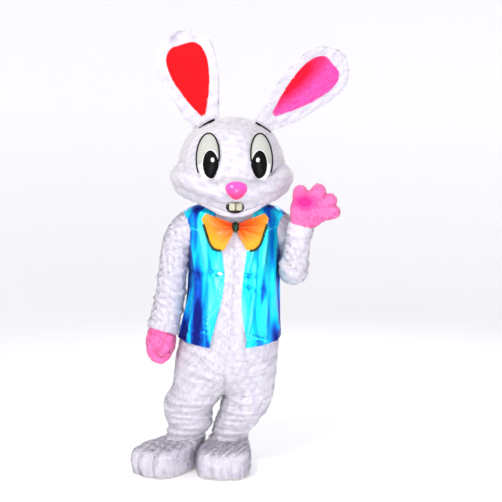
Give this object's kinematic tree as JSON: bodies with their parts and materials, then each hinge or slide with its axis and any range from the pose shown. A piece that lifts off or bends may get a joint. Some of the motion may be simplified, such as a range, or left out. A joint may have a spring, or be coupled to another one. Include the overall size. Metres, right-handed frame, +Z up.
{
  "type": "rabbit mascot costume",
  "caption": "Full-body rabbit costume: hollow fur head with upright ears, plush suit, open satin waistcoat, bow tie, gloves and stuffed feet.",
  "frame": {"origin": "between the shoulders on the wearer's centre line, 1.27 m above the ground under the feet", "axes": "+Z up, -Y out of the front, +X towards the wearer's left"},
  "size_m": [1.052, 0.6146, 2.1198],
  "materials": {
    "white_plush": "short white plush fur",
    "ear_plush_red": "red short plush ear lining",
    "ear_plush_pink": "pink short plush ear lining",
    "blue_satin": "shiny metallic blue satin",
    "orange_satin": "orange to yellow satin",
    "knot_satin": "dark glossy green satin",
    "pink_plush": "pink plush",
    "nose_vinyl": "glossy pink vinyl",
    "eye_white": "glossy white",
    "eyelid_grey": "matte grey-green",
    "black_vinyl": "glossy black",
    "tooth_white": "off-white",
    "sole_rubber": "pale matte rubber",
    "zip_white": "white zip tape"
  },
  "bodies": {
    "root": {"head_shell": "white_plush", "muzzle": "white_plush", "chin": "white_plush", "ear_left": "white_plush", "ear_right": "white_plush", "ear_lining_left": "ear_plush_pink", "ear_lining_right": "ear_plush_red", "eye_left": "eye_white", "eye_right": "eye_white", "eyelid_left": "eyelid_grey", "eyelid_right": "eyelid_grey", "pupil_left": "black_vinyl", "pupil_right": "black_vinyl", "glint_left": "eye_white", "glint_right": "eye_white", "brow_left": "black_vinyl", "brow_right": "black_vinyl", "nose": "nose_vinyl", "mouth": "black_vinyl", "tooth_left": "tooth_white", "tooth_right": "tooth_white", "suit_front_left": "white_plush", "suit_front_right": "white_plush", "suit_back_left": "white_plush", "suit_back_right": "white_plush", "suit_zip": "zip_white", "sleeve_left": "white_plush", "sleeve_right": "white_plush", "cuff_left": "white_plush", "cuff_right": "white_plush", "glove_left": "pink_plush", "glove_right": "pink_plush", "vest_front_left": "blue_satin", "vest_front_right": "blue_satin", "vest_back": "blue_satin", "bow_wing_left": "orange_satin", "bow_wing_right": "orange_satin", "bow_knot": "knot_satin", "shoe_left": "white_plush", "shoe_right": "white_plush", "sole_left": "sole_rubber", "sole_right": "sole_rubber"}
  },
  "joints": []
}
